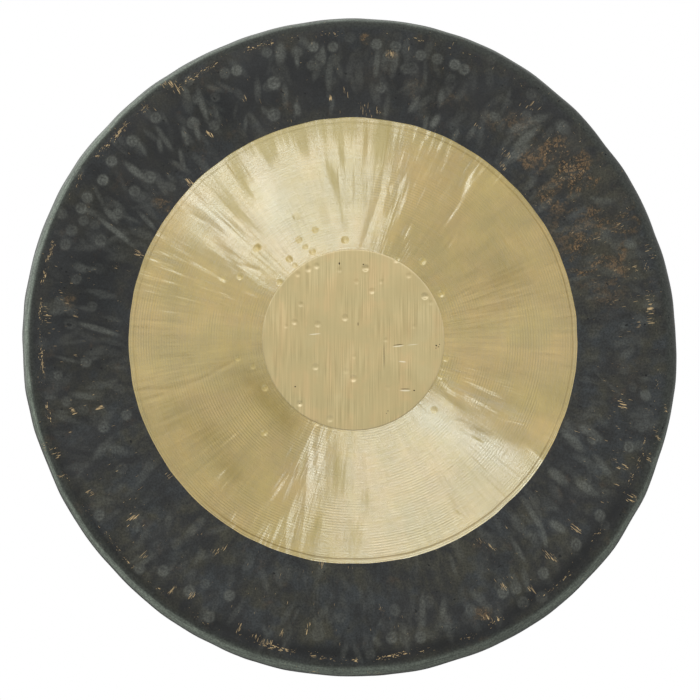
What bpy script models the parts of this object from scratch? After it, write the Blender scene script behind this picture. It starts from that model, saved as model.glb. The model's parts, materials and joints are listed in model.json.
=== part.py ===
# Hung bronze gong: one cast and hammered disc whose rim is turned back in one with the face.
# It hangs upright with its face towards -Y, in metres.
# The world origin is midway between its two hanging holes.

import math
import random

import bmesh
import bpy
import numpy as np

# Form of the disc: the face, the rolled shoulder and the rim that runs back from it
OUTER_RADIUS = 0.3555
SHOULDER_RADIUS = 0.0155
RIM_DEPTH = 0.050
RIM_LEAN = math.radians(2.5)
FACE_CROWN = 0.003

# Wall of the metal in each zone, thickest where it was scraped least
CENTRE_WALL = 0.0028
TURNED_WALL = 0.0022
BLACK_WALL = 0.0026
RIM_WALL = 0.0023
LIP_CHAMFER = 0.0004

# Zones of the face: a scraped centre inside a ring that was turned about a centre of its own
SCRAPED_RADIUS = 0.0975
SCRAPED_STEP = 0.0002
TURNED_RADIUS = 0.2408
TURNED_STEP = 0.0004
FIRST_CUT_WIDTH = 0.006
FIRST_CUT_DEPTH = 0.0002
STEP_RUN = 0.0006
TURNED_CENTRE_X = 0.0020
TURNED_CENTRE_Z = 0.0042

# The rim is out of round: lobes, height of each lobe, and the angle of one lobe from +X
OUT_OF_ROUND = (
    (2, 0.0027, math.radians(-70)),
    (3, 0.0013, math.radians(58)),
    (4, 0.0009, math.radians(-24)),
    (5, 0.0005, math.radians(16)),
    (6, 0.00045, math.radians(12)),
)

# Hammer blows lie in courses round the disc, long way outwards, and go both ways through the wall
HAMMER_SEED = 11
HAMMER_START = 0.045
COURSE_PITCH = 0.036
BLOW_PITCH = 0.040
BLOW_SCATTER = 0.32
BLOW_WIDTH = 0.015
BLOW_LENGTH = 0.022
BLOW_DEPTH = 0.0009
TURNED_BLOW_SHARE = 0.55

# Two hanging holes, drilled straight in through the rim at equal angles from the top
HOLE_DIAMETER = 0.009
HOLE_ANGLE = math.radians(14)
HOLE_SETBACK = 0.027
CUTTER_LENGTH = 0.040

# Facets
SEGMENTS = 108
CENTRE_ROWS = 3
RING_ROWS = 5
BLACK_ROWS = 6
SHOULDER_ROWS = 6
RIM_ROWS = 3
HOLE_SEGMENTS = 32

SHOULDER_START = OUTER_RADIUS - SHOULDER_RADIUS
SHOULDER_TURN = math.pi / 2 + RIM_LEAN


def clear_scene():
    for thing in list(bpy.data.objects):
        bpy.data.objects.remove(thing, do_unlink=True)


def new_collection(name):
    collection = bpy.data.collections.new(name)
    bpy.context.scene.collection.children.link(collection)
    return collection


def new_material(name, colour, metallic, roughness):
    material = bpy.data.materials.new(name)
    material.use_nodes = True
    shader = material.node_tree.nodes["Principled BSDF"]
    shader.inputs["Base Color"].default_value = (*colour, 1)
    shader.inputs["Metallic"].default_value = metallic
    shader.inputs["Roughness"].default_value = roughness
    material.diffuse_color = (*colour, 1)
    material.metallic = metallic
    material.roughness = roughness
    return material


def smooth_step(value, low, high):
    share = np.clip((value - low) / (high - low), 0, 1)
    return share * share * (3 - 2 * share)


def steps(start, end, count):
    return [start + (end - start) * step / count for step in range(1, count + 1)]


# Depth of the front behind the face's plane: less than nothing on the crown, level at the shoulder
def crown_depth(radius):
    share = min(radius / SHOULDER_START, 1)
    return -FACE_CROWN * (1 - share * share) ** 2


# A point on the rolled shoulder, which is turned about a centre of its own: radius and depth
def on_shoulder(radius, turn):
    return SHOULDER_START + radius * math.sin(turn), SHOULDER_RADIUS - radius * math.cos(turn)


# Outside of the rim, which leans in a little as it runs back from the end of the shoulder
def rim_radius(depth):
    start_radius, start_depth = on_shoulder(SHOULDER_RADIUS, SHOULDER_TURN)
    return start_radius - (depth - start_depth) * math.tan(RIM_LEAN)


# Front of the face from the pole outwards, with the scraped, turned and first-cut steps
def front_rows():
    turned_inner = SCRAPED_RADIUS + STEP_RUN
    first_cut = TURNED_RADIUS - FIRST_CUT_WIDTH
    rows = [(0, SCRAPED_STEP)]
    rows += [(radius, SCRAPED_STEP) for radius in steps(0, SCRAPED_RADIUS, CENTRE_ROWS)]
    rows += [(turned_inner, TURNED_STEP)]
    rows += [(radius, TURNED_STEP) for radius in steps(turned_inner, first_cut, RING_ROWS)]
    rows += [(first_cut + STEP_RUN, FIRST_CUT_DEPTH), (TURNED_RADIUS, FIRST_CUT_DEPTH)]
    rows += [(TURNED_RADIUS + STEP_RUN, 0)]
    rows += [(radius, 0) for radius in steps(TURNED_RADIUS + STEP_RUN, SHOULDER_START, BLACK_ROWS)]
    return [(radius, crown_depth(radius) + depth) for radius, depth in rows]


# Back of the face from the shoulder inwards, each wall thickness running smoothly into the next
def back_rows():
    radii = steps(SHOULDER_START, TURNED_RADIUS, BLACK_ROWS)
    radii += steps(TURNED_RADIUS, SCRAPED_RADIUS, RING_ROWS)
    radii += steps(SCRAPED_RADIUS, 0, CENTRE_ROWS)
    zone_radii = [0, SCRAPED_RADIUS, TURNED_RADIUS, SHOULDER_START]
    zone_walls = [SCRAPED_STEP + CENTRE_WALL, TURNED_STEP + TURNED_WALL, BLACK_WALL, RIM_WALL]
    walls = np.interp(radii, zone_radii, zone_walls)
    return [(radius, crown_depth(radius) + float(wall)) for radius, wall in zip(radii, walls)]


def shoulder_rows(radius):
    return [on_shoulder(radius, turn) for turn in steps(0, SHOULDER_TURN, SHOULDER_ROWS)]


# The rim from the shoulder to the lip, over the lip and back up inside
def rim_rows():
    start_depth = on_shoulder(SHOULDER_RADIUS, SHOULDER_TURN)[1]
    depths = steps(start_depth, RIM_DEPTH - LIP_CHAMFER, RIM_ROWS)
    outer = [(rim_radius(depth), depth) for depth in depths]
    lip = rim_radius(RIM_DEPTH)
    rows = outer + [(lip - LIP_CHAMFER, RIM_DEPTH), (lip - RIM_WALL + LIP_CHAMFER, RIM_DEPTH)]
    inner = [(radius - RIM_WALL, depth) for radius, depth in reversed(outer)]
    return rows + inner


# The whole section: face, shoulder, rim and lip outwards, then the same forms back to the pole
def section():
    rows = front_rows() + shoulder_rows(SHOULDER_RADIUS) + rim_rows()
    inner_shoulder = list(reversed(shoulder_rows(SHOULDER_RADIUS - RIM_WALL)))
    rows += inner_shoulder + [(SHOULDER_START, RIM_WALL)] + back_rows()
    return rows


def turn_section(rows, collection):
    mesh = bpy.data.meshes.new("gong_section")
    edges = [(row, row + 1) for row in range(len(rows) - 1)]
    mesh.from_pydata([(radius, depth, 0) for radius, depth in rows], edges, [])
    turned = bpy.data.objects.new("gong_section", mesh)
    collection.objects.link(turned)
    screw = turned.modifiers.new("turn", "SCREW")
    screw.axis = "Y"
    screw.angle = math.tau
    screw.steps = SEGMENTS
    screw.render_steps = SEGMENTS
    screw.use_merge_vertices = True
    screw.merge_threshold = 0.0001
    screw.use_normal_flip = True
    graph = bpy.context.evaluated_depsgraph_get()
    solid = bpy.data.meshes.new_from_object(turned.evaluated_get(graph))
    bpy.data.objects.remove(turned, do_unlink=True)
    return solid


# Distance along the section from the pole, and the outward normal's share outwards and back
def place_on_section(radius, depth):
    over = np.clip(radius - SHOULDER_START, 0, None)
    ahead = np.clip(SHOULDER_RADIUS - depth, 0, None)
    turn = np.where(radius > SHOULDER_START, np.arctan2(over, ahead), 0)
    along = np.minimum(radius, SHOULDER_START) + SHOULDER_RADIUS * turn
    along = along + np.where(turn > 0, np.clip(depth - SHOULDER_RADIUS, 0, None), 0)
    return along, np.sin(turn), -np.cos(turn)


# One entry for each blow: distance along the section, angle round the disc, radius there and depth
def hammer_blows():
    chance = random.Random(HAMMER_SEED)
    section_length = SHOULDER_START + SHOULDER_RADIUS * SHOULDER_TURN + RIM_DEPTH - SHOULDER_RADIUS
    courses = round((section_length - HAMMER_START) / COURSE_PITCH)
    blows = []
    for course in range(courses):
        along = HAMMER_START + (course + 0.5) * COURSE_PITCH
        radius = min(along, OUTER_RADIUS)
        count = round(math.tau * radius / BLOW_PITCH)
        for blow in range(count):
            angle = (blow + chance.uniform(-BLOW_SCATTER, BLOW_SCATTER)) * math.tau / count
            place = along + chance.uniform(-BLOW_SCATTER, BLOW_SCATTER) * COURSE_PITCH
            depth = BLOW_DEPTH * chance.uniform(0.4, 1) * chance.choice((-1, 1))
            blows.append((place, angle, radius, depth))
    return blows


def hammered_depth(along, angle):
    depth = np.zeros_like(along)
    for place, centre, radius, blow in hammer_blows():
        across = (np.mod(angle - centre + math.pi, math.tau) - math.pi) * radius
        outward = along - place
        depth += blow * np.exp(-((across / BLOW_WIDTH) ** 2) - (outward / BLOW_LENGTH) ** 2)
    turned = smooth_step(along, TURNED_RADIUS, TURNED_RADIUS + COURSE_PITCH)
    return depth * (TURNED_BLOW_SHARE + (1 - TURNED_BLOW_SHARE) * turned)


def out_of_round(angle):
    return sum(height * np.cos(lobes * (angle - peak)) for lobes, height, peak in OUT_OF_ROUND)


# Hammers the turned solid: blows on both skins alike, an uneven rim, the turned zones off centre
def hammer(mesh):
    points = np.empty(len(mesh.vertices) * 3)
    mesh.vertices.foreach_get("co", points)
    x, depth, z = points.reshape(-1, 3).T
    radius = np.hypot(x, z)
    angle = np.arctan2(z, x)
    along, normal_out, normal_back = place_on_section(radius, depth)
    dent = hammered_depth(along, angle)
    spread = smooth_step(radius, TURNED_RADIUS, SHOULDER_START)
    new_radius = radius + out_of_round(angle) * spread - dent * normal_out
    moved = np.empty((len(radius), 3))
    moved[:, 0] = new_radius * np.cos(angle) + TURNED_CENTRE_X * (1 - spread)
    moved[:, 1] = depth - dent * normal_back
    moved[:, 2] = new_radius * np.sin(angle) + TURNED_CENTRE_Z * (1 - spread)
    mesh.vertices.foreach_set("co", moved.ravel())
    mesh.update()


# Black all over, but for the turned ring and the scraped centre on the front
def colour_zones(mesh):
    black = new_material("black_scale", (0.040, 0.040, 0.034), 0.6, 0.42)
    turned = new_material("turned_bronze", (0.56, 0.45, 0.24), 1.0, 0.34)
    scraped = new_material("scraped_bronze", (0.52, 0.42, 0.22), 1.0, 0.42)
    for material in (black, turned, scraped):
        mesh.materials.append(material)
    for face in mesh.polygons:
        off_centre = face.center.x - TURNED_CENTRE_X, face.center.z - TURNED_CENTRE_Z
        radius = math.hypot(*off_centre)
        if face.normal.y < 0 and radius < SCRAPED_RADIUS:
            face.material_index = 2
        elif face.normal.y < 0 and radius < TURNED_RADIUS + STEP_RUN:
            face.material_index = 1


# Centre of a hanging hole in the middle of the rim's wall: side 1 is right, -1 left
def hole_place(side):
    radius = rim_radius(HOLE_SETBACK) - RIM_WALL / 2
    return side * radius * math.sin(HOLE_ANGLE), HOLE_SETBACK, radius * math.cos(HOLE_ANGLE)


# Midway between the two holes
def hanging_point():
    return 0, *hole_place(1)[1:]


def drill_hanging_holes(gong, collection, middle):
    for side in (1, -1):
        mesh = bpy.data.meshes.new("hole_cutter")
        shape = bmesh.new()
        bmesh.ops.create_cone(
            shape,
            cap_ends=True,
            segments=HOLE_SEGMENTS,
            radius1=HOLE_DIAMETER / 2,
            radius2=HOLE_DIAMETER / 2,
            depth=CUTTER_LENGTH,
        )
        shape.to_mesh(mesh)
        shape.free()
        cutter = bpy.data.objects.new("hole_cutter_right" if side > 0 else "hole_cutter_left", mesh)
        collection.objects.link(cutter)
        cutter.parent = middle
        cutter.location = hole_place(side)
        cutter.rotation_euler = (0, side * HOLE_ANGLE, 0)
        cutter.hide_render = True
        cutter.display_type = "WIRE"
        cut = gong.modifiers.new(cutter.name, "BOOLEAN")
        cut.operation = "DIFFERENCE"
        cut.solver = "EXACT"
        cut.object = cutter


def build():
    clear_scene()
    parts = new_collection("gong")
    cutters = new_collection("cutters")
    middle = bpy.data.objects.new("disc_centre", None)
    parts.objects.link(middle)
    middle.location = [-value for value in hanging_point()]

    mesh = turn_section(section(), parts)
    hammer(mesh)
    colour_zones(mesh)
    mesh.shade_smooth()
    mesh.set_sharp_from_angle(angle=math.radians(35))
    gong = bpy.data.objects.new("gong_disc", mesh)
    parts.objects.link(gong)
    gong.parent = middle
    drill_hanging_holes(gong, cutters, middle)
    bpy.context.view_layer.update()


build()
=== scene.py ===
import json
import math
import random

import bmesh
import bpy
import numpy as np
from mathutils import Matrix, Vector

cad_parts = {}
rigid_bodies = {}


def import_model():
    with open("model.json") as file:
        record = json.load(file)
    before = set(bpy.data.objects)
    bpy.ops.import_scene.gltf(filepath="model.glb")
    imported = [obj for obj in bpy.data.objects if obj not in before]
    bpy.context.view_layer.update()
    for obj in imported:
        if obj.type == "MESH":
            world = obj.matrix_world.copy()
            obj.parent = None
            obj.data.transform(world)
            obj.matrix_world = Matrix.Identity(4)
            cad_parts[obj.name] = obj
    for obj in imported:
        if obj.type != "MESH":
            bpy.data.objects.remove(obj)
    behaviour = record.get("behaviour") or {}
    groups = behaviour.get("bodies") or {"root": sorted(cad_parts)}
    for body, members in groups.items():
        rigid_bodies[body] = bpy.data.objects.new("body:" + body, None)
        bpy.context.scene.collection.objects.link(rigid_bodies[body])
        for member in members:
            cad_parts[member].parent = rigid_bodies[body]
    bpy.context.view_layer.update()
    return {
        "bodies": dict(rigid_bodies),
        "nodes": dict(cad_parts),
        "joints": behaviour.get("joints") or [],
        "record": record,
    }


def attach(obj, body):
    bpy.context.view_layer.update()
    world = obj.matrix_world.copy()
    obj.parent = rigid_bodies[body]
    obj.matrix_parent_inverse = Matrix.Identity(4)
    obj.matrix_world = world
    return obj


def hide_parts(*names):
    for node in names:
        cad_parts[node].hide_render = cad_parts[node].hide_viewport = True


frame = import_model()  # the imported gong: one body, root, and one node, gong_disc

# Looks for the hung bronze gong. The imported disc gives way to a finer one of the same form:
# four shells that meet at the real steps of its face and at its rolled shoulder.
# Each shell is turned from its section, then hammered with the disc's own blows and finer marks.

# Form of the disc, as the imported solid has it: metres, +Y into the disc from its face
disc = {
    "outerRadius": 0.3555,
    "shoulderRadius": 0.0155,
    "rimDepth": 0.050,
    "rimLean": math.radians(2.5),
    "faceCrown": 0.003,
    "lipChamfer": 0.0004,
    "scrapedRadius": 0.0975,
    "scrapedStep": 0.0002,
    "turnedRadius": 0.2408,
    "turnedStep": 0.0004,
    "firstCutWidth": 0.0048,
    "firstCutDepth": 0.0002,
    "stepRun": 0.0006,
    "turnedCentre": (0.0020, 0.0042),  # of the bright ring, right and up from the disc's own
    "centreWall": 0.0028,
    "turnedWall": 0.0022,
    "blackWall": 0.0026,
    "rimWall": 0.0023,
    "holeDiameter": 0.009,
    "holeSides": 48,
    "holeAngle": math.radians(14),
    "holeSetback": 0.027,
    "seamTuck": 0.0008,  # how far each shell reaches under its neighbour, so no light gets through
    "trim": 0.0004,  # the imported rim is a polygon, this much inside its circle
    "sharpAngle": math.radians(35),  # past which an edge isn't shaded smooth
}

# How far the rim strays from round: lobes, height and where the first lobe peaks
outOfRoundLobes = (
    (2, 0.0027, math.radians(-70)),
    (3, 0.0013, math.radians(58)),
    (4, 0.0009, math.radians(-24)),
    (5, 0.0005, math.radians(16)),
    (6, 0.00045, math.radians(12)),
)

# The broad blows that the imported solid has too
broadBlows = {
    "seed": 11,
    "start": 0.045,
    "coursePitch": 0.036,
    "blowPitch": 0.040,
    "scatter": 0.32,
    "width": 0.015,
    "length": 0.022,
    "reach": 3,  # in widths and lengths: past that nothing of a blow is left
    "depth": 0.0009,
    "shareOnTurned": 0.3,
}

ringWander = {
    "seed": 9,
    "lobes": (3, 5, 8, 11, 17, 23, 31, 43, 58),
    "height": 0.0006,
    "reach": 0.012,
}

shoulderStart = disc["outerRadius"] - disc["shoulderRadius"]
shoulderTurn = math.pi / 2 + disc["rimLean"]
rimStartRadius = shoulderStart + disc["shoulderRadius"] * math.sin(shoulderTurn)
rimStartDepth = disc["shoulderRadius"] * (1 - math.cos(shoulderTurn))


def rimRadius(depth):
    return rimStartRadius - (depth - rimStartDepth) * math.tan(disc["rimLean"])


# The frame's origin lies midway between the two hanging holes
holeRadius = rimRadius(disc["holeSetback"]) - disc["rimWall"] / 2
discCentre = (0.0, -disc["holeSetback"], -holeRadius * math.cos(disc["holeAngle"]))
ringCentre = (
    discCentre[0] + disc["turnedCentre"][0],
    discCentre[1],
    discCentre[2] + disc["turnedCentre"][1],
)


def smoothStep(value, low, high):
    share = np.clip((value - low) / (high - low), 0, 1)
    return share * share * (3 - 2 * share)


def evenly(start, end, count):
    return [start + (end - start) * step / count for step in range(count + 1)]


def crownDepth(radius):
    share = np.minimum(radius / shoulderStart, 1)
    return -disc["faceCrown"] * (1 - share * share) ** 2


def frontPoint(radius, step=0.0):
    return radius, float(crownDepth(radius)) + step


def backPoint(radius):
    radii = [0, disc["scrapedRadius"], disc["turnedRadius"], shoulderStart]
    walls = [
        disc["scrapedStep"] + disc["centreWall"],
        disc["turnedStep"] + disc["turnedWall"],
        disc["blackWall"],
        disc["rimWall"],
    ]
    return radius, float(crownDepth(radius) + np.interp(radius, radii, walls))


def shoulderPoint(radius, turn):
    return (
        shoulderStart + radius * math.sin(turn),
        disc["shoulderRadius"] - radius * math.cos(turn),
    )


def turnShell(name, section, steps, doublings):
    # the section is spun through one sector, which is then doubled until it runs right round
    shape = bmesh.new()
    corners = [shape.verts.new((radius, depth, 0)) for radius, depth in section]
    edges = [shape.edges.new(pair) for pair in zip(corners, corners[1:])]
    if section[0][0] > 0:  # a section that starts on the axis closes there by itself
        edges.append(shape.edges.new((corners[-1], corners[0])))
    sector = math.tau / 2**doublings
    bmesh.ops.spin(
        shape, geom=corners + edges, cent=(0, 0, 0), axis=(0, 1, 0), angle=sector, steps=steps
    )
    for doubling in range(doublings):
        everything = shape.verts[:] + shape.edges[:] + shape.faces[:]
        copied = bmesh.ops.duplicate(shape, geom=everything)["geom"]
        bmesh.ops.rotate(
            shape,
            verts=[item for item in copied if isinstance(item, bmesh.types.BMVert)],
            cent=(0, 0, 0),
            matrix=Matrix.Rotation(sector * 2**doubling, 3, "Y"),
        )
    bmesh.ops.remove_doubles(shape, verts=shape.verts, dist=1e-6)
    bmesh.ops.recalc_face_normals(shape, faces=shape.faces)
    mesh = bpy.data.meshes.new(name)
    shape.to_mesh(mesh)
    shape.free()
    return mesh


def readPoints(mesh):
    flat = np.empty(len(mesh.vertices) * 3)
    mesh.vertices.foreach_get("co", flat)
    return flat.reshape(-1, 3)


def placeOnSection(radius, depth):
    over = np.clip(radius - shoulderStart, 0, None)
    ahead = np.clip(disc["shoulderRadius"] - depth, 0, None)
    turn = np.where(radius > shoulderStart, np.arctan2(over, ahead), 0)
    along = np.minimum(radius, shoulderStart) + disc["shoulderRadius"] * turn
    along = along + np.where(turn > 0, np.clip(depth - disc["shoulderRadius"], 0, None), 0)
    return along, np.sin(turn), -np.cos(turn)


def onFrontSkin(radius, depth):
    # true for the points of the wall's outer skin, from halfway through it outwards
    half = disc["rimWall"] / 2
    face = depth < crownDepth(radius) + half + disc["turnedStep"] / 2
    arc = np.hypot(radius - shoulderStart, depth - disc["shoulderRadius"])
    roll = arc > disc["shoulderRadius"] - half
    rim = radius > rimStartRadius - (depth - rimStartDepth) * math.tan(disc["rimLean"]) - half
    onRoll = (radius > shoulderStart) & (depth <= rimStartDepth)
    return np.where(depth > rimStartDepth, rim, np.where(onRoll, roll, face))


def listBroadBlows():
    settings = broadBlows
    chance = random.Random(settings["seed"])
    length = shoulderStart + disc["shoulderRadius"] * shoulderTurn
    length += disc["rimDepth"] - disc["shoulderRadius"]
    courses = round((length - settings["start"]) / settings["coursePitch"])
    blows = []
    for course in range(courses):
        along = settings["start"] + (course + 0.5) * settings["coursePitch"]
        radius = min(along, disc["outerRadius"])
        count = round(math.tau * radius / settings["blowPitch"])
        scatter = settings["scatter"]
        for blow in range(count):
            angle = (blow + chance.uniform(-scatter, scatter)) * math.tau / count
            place = along + chance.uniform(-scatter, scatter) * settings["coursePitch"]
            depth = settings["depth"] * chance.uniform(0.4, 1) * chance.choice((-1, 1))
            blows.append((place, angle, radius, depth))
    return blows


def broadRelief(along, angle):
    dent = np.zeros_like(along)
    longest, widest = [broadBlows["reach"] * broadBlows[name] for name in ("length", "width")]
    for place, middle, radius, depth in listBroadBlows():
        outward = along - place
        across = (np.mod(angle - middle + math.pi, math.tau) - math.pi) * radius
        near = (np.abs(outward) < longest) & (np.abs(across) < widest)
        near = np.flatnonzero(near)
        share = (across[near] / broadBlows["width"]) ** 2
        share += (outward[near] / broadBlows["length"]) ** 2
        dent[near] += depth * np.exp(-share)
    turned = smoothStep(
        along, disc["turnedRadius"], disc["turnedRadius"] + broadBlows["coursePitch"]
    )
    return dent * (broadBlows["shareOnTurned"] + (1 - broadBlows["shareOnTurned"]) * turned)


def outOfRound(angle):
    return sum(height * np.cos(lobes * (angle - peak)) for lobes, height, peak in outOfRoundLobes)


def ringEdge(radius, angle):
    # the edge of the turning wanders a little where the lathe tool met the hammered ground
    chance = random.Random(ringWander["seed"])
    wander = np.zeros_like(angle)
    for lobes in ringWander["lobes"]:
        height = ringWander["height"] * chance.uniform(0.4, 1) / lobes**0.4
        wander += height * np.cos(lobes * angle + chance.uniform(0, math.tau))
    return wander * np.exp(-(((radius - disc["turnedRadius"]) / ringWander["reach"]) ** 2))


def unroll(along, angle):
    # right and up of a point, with the shoulder and rim laid flat round the face
    return along * np.cos(angle), along * np.sin(angle)


# A tool mark across: q is 0 in its middle and 1 at its edge
toolMark = {
    "cupFullness": 1.4,
    "ridge": 0.06,  # thrown up round a cup, and where it is and how wide
    "ridgePlace": 1.12,
    "ridgeWidth": 0.24,
    "cupRub": 0.98,  # how far out a mark is rubbed
    "strokeRub": 0.9,
    "rubWave": 7.2,
    "rubWaveShare": 0.28,
    "reach": 2.2,  # how far out it is worked out at all
}


def cupProfile(q):
    # a round-faced hammer's dent with the little ridge that it throws up
    cup = np.clip(1 - q * q, 0, 1) ** toolMark["cupFullness"]
    off = (q - toolMark["ridgePlace"]) / toolMark["ridgeWidth"]
    return cup - toolMark["ridge"] * np.exp(-(off**2))


def cupRub(q):
    # burnished on the dent's shoulder and at its very middle
    wave = toolMark["rubWaveShare"] * np.cos(q * toolMark["rubWave"])
    return np.exp(-((q / toolMark["cupRub"]) ** 6)) * (1 - toolMark["rubWaveShare"] + wave)


def softProfile(q):
    return np.exp(-q * q)


def softRub(q):
    return np.exp(-((q / toolMark["strokeRub"]) ** 5))


def pressMarks(right, up, marks):
    # marks: (from, to, half width, depth, rub, round). Gives the dent and the rub of every point.
    dent = np.zeros_like(right)
    rub = np.zeros_like(right)
    order = np.argsort(right)
    sortedRight = right[order]
    for start, end, halfWidth, depth, rubbed, isRound in marks:
        middle = ((start[0] + end[0]) / 2, (start[1] + end[1]) / 2)
        length = math.dist(start, end)
        halfLength = length / 2 + halfWidth
        reach = halfLength * toolMark["reach"]
        low, high = np.searchsorted(sortedRight, (middle[0] - reach, middle[0] + reach))
        near = order[low:high]
        near = near[np.abs(up[near] - middle[1]) < reach]
        way = ((end[0] - start[0]) / length, (end[1] - start[1]) / length) if length else (1, 0)
        offRight = right[near] - middle[0]
        offUp = up[near] - middle[1]
        lengthwise = (offRight * way[0] + offUp * way[1]) / halfLength
        sideways = (offUp * way[0] - offRight * way[1]) / halfWidth
        q = np.hypot(lengthwise, sideways)
        dent[near] += depth * (cupProfile(q) if isRound else softProfile(q))
        rub[near] = np.maximum(rub[near], rubbed * (cupRub(q) if isRound else softRub(q)))
    return dent, rub


def offTheFace(right, up, centred):
    # where a place seen on the face lay before the disc was shifted and knocked out of round
    right, up = right / 1000, up / 1000
    if centred:
        return right, up
    radius = math.hypot(right, up)
    angle = math.atan2(up, right)
    spread = float(smoothStep(radius, disc["turnedRadius"], shoulderStart))
    right -= disc["turnedCentre"][0] * (1 - spread)
    up -= disc["turnedCentre"][1] * (1 - spread)
    shrink = 1 - (outOfRound(angle) - disc["trim"]) * spread / radius
    return right * shrink, up * shrink


def placeStrokes(strokes, steepness, rubbed, centred=False):
    # strokes: right and up of both ends, half width and strength, in millimetres from the centre
    made = []
    for startRight, startUp, endRight, endUp, halfWidth, strength in strokes:
        start = offTheFace(startRight, startUp, centred)
        end = offTheFace(endRight, endUp, centred)
        depth = strength * steepness * halfWidth / 1000
        made.append((start, end, halfWidth / 1000, depth, rubbed * min(abs(strength), 1), False))
    return made


def placePeens(peens, steepness, rubbed, centred=False):
    # round marks: right, up, radius and strength, in millimetres from the centre
    made = []
    for right, up, radius, strength in peens:
        middle = offTheFace(right, up, centred)
        depth = strength * steepness * radius / 1000
        made.append((middle, middle, radius / 1000, depth, rubbed * min(abs(strength), 1), True))
    return made


def scatterStrokes(settings):
    # more strokes along the radius, wherever the seed drops them
    chance = random.Random(settings["seed"])
    made = []
    for stroke in range(settings["count"]):
        radius = chance.uniform(*settings["radii"])
        angle = chance.uniform(0, math.tau)
        lean = angle + chance.gauss(0, settings["lean"])
        reach = chance.uniform(*settings["length"]) / 2
        start = (
            radius * math.cos(angle) + reach * math.cos(lean),
            radius * math.sin(angle) + reach * math.sin(lean),
        )
        end = (2 * radius * math.cos(angle) - start[0], 2 * radius * math.sin(angle) - start[1])
        halfWidth = chance.uniform(*settings["halfWidth"])
        strength = chance.uniform(*settings["strength"]) * chance.choice((1, settings["other"]))
        depth = strength * settings["steepness"] * halfWidth
        made.append((start, end, halfWidth, depth, settings["rub"] * abs(strength), False))
    return made


def scatterPeens(settings):
    # more round marks, in a loose row round the disc
    chance = random.Random(settings["seed"])
    made = []
    for peen in range(settings["count"]):
        radius = chance.gauss(settings["radius"], settings["spread"])
        angle = chance.uniform(0, math.tau)
        middle = (radius * math.cos(angle), radius * math.sin(angle))
        size = chance.uniform(*settings["size"])
        strength = chance.uniform(*settings["strength"])
        depth = strength * settings["steepness"] * size
        made.append((middle, middle, size, depth, settings["rub"] * strength, True))
    return made


def keepOnPoints(mesh, name, values):
    made = mesh.attributes.new(name, "FLOAT", "POINT")
    made.data.foreach_set("value", np.clip(values, 0, 1).astype(np.float32))


def drillHoles(mesh):
    # the two hanging holes, straight in through the rim, each side of the top
    blank = bpy.data.objects.new("undrilledRim", mesh)
    bpy.context.scene.collection.objects.link(blank)
    drills = []
    for side in (1, -1):
        lean = side * disc["holeAngle"]
        place = (holeRadius * math.sin(lean), disc["holeSetback"], holeRadius * math.cos(lean))
        shape = bmesh.new()
        bmesh.ops.create_cone(
            shape,
            cap_ends=True,
            segments=disc["holeSides"],
            radius1=disc["holeDiameter"] / 2,
            radius2=disc["holeDiameter"] / 2,
            depth=disc["rimWall"] * 5,  # well past the wall on both sides
            matrix=Matrix.Translation(place) @ Matrix.Rotation(lean, 4, "Y"),
        )
        drillMesh = bpy.data.meshes.new("drill")
        shape.to_mesh(drillMesh)
        shape.free()
        drill = bpy.data.objects.new("drill", drillMesh)
        bpy.context.scene.collection.objects.link(drill)
        hole = blank.modifiers.new("hole", "BOOLEAN")
        hole.operation = "DIFFERENCE"
        hole.solver = "EXACT"
        hole.object = drill
        drills.append(drill)
    ready = blank.evaluated_get(bpy.context.evaluated_depsgraph_get())
    drilled = bpy.data.meshes.new_from_object(ready)
    for thing in [blank, *drills]:
        old = thing.data
        bpy.data.objects.remove(thing)
        bpy.data.meshes.remove(old)
    drilled.name = "rolledRim"
    return drilled


def hammerShell(mesh, marks):
    # the disc's own form, then the marks on its front. Leaves the rub in the attribute "rub".
    points = readPoints(mesh)
    radius = np.hypot(points[:, 0], points[:, 2])
    angle = np.arctan2(points[:, 2], points[:, 0])
    depth = points[:, 1]
    along, normalOut, normalBack = placeOnSection(radius, depth)
    front = onFrontSkin(radius, depth)
    dent = broadRelief(along, angle)
    right, up = unroll(along, angle)
    frontDent, frontRub = pressMarks(right, up, marks)
    dent += np.where(front, frontDent, 0)
    rub = np.where(front, frontRub, 0)
    spread = smoothStep(radius, disc["turnedRadius"], shoulderStart)
    newRadius = radius + (outOfRound(angle) - disc["trim"]) * spread - dent * normalOut
    newRadius += ringEdge(radius, angle)
    moved = np.empty_like(points)
    moved[:, 0] = newRadius * np.cos(angle) + disc["turnedCentre"][0] * (1 - spread)
    moved[:, 1] = depth - dent * normalBack
    moved[:, 2] = newRadius * np.sin(angle) + disc["turnedCentre"][1] * (1 - spread)
    mesh.vertices.foreach_set("co", (moved + discCentre).ravel())
    keepOnPoints(mesh, "rub", rub)
    mesh.update()
    return along, angle, front


def finishShell(mesh, materials):
    for material in materials:
        mesh.materials.append(material)
    mesh.shade_smooth()
    mesh.set_sharp_from_angle(angle=disc["sharpAngle"])
    shell = bpy.data.objects.new(mesh.name, mesh)
    bpy.context.scene.collection.objects.link(shell)
    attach(shell, "root")
    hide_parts("gong_disc")
    print(mesh.name, len(mesh.vertices), "points")
    return shell


class Field:
    # a value, colour or place that varies over the surface. Each sum on it adds a node.
    def __init__(self, tree, socket):
        self.tree = tree
        self.socket = socket

    def reckon(self, operation, first, second=0.0):
        return newField(self.tree, "ShaderNodeMath", {0: first, 1: second}, operation=operation)

    def __add__(self, other):
        return self.reckon("ADD", self, other)

    def __sub__(self, other):
        return self.reckon("SUBTRACT", self, other)

    def __rsub__(self, other):
        return self.reckon("SUBTRACT", other, self)

    def __mul__(self, other):
        return self.reckon("MULTIPLY", self, other)

    def larger(self, other):
        return self.reckon("MAXIMUM", self, other)

    def sine(self):
        return self.reckon("SINE", self)


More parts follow.
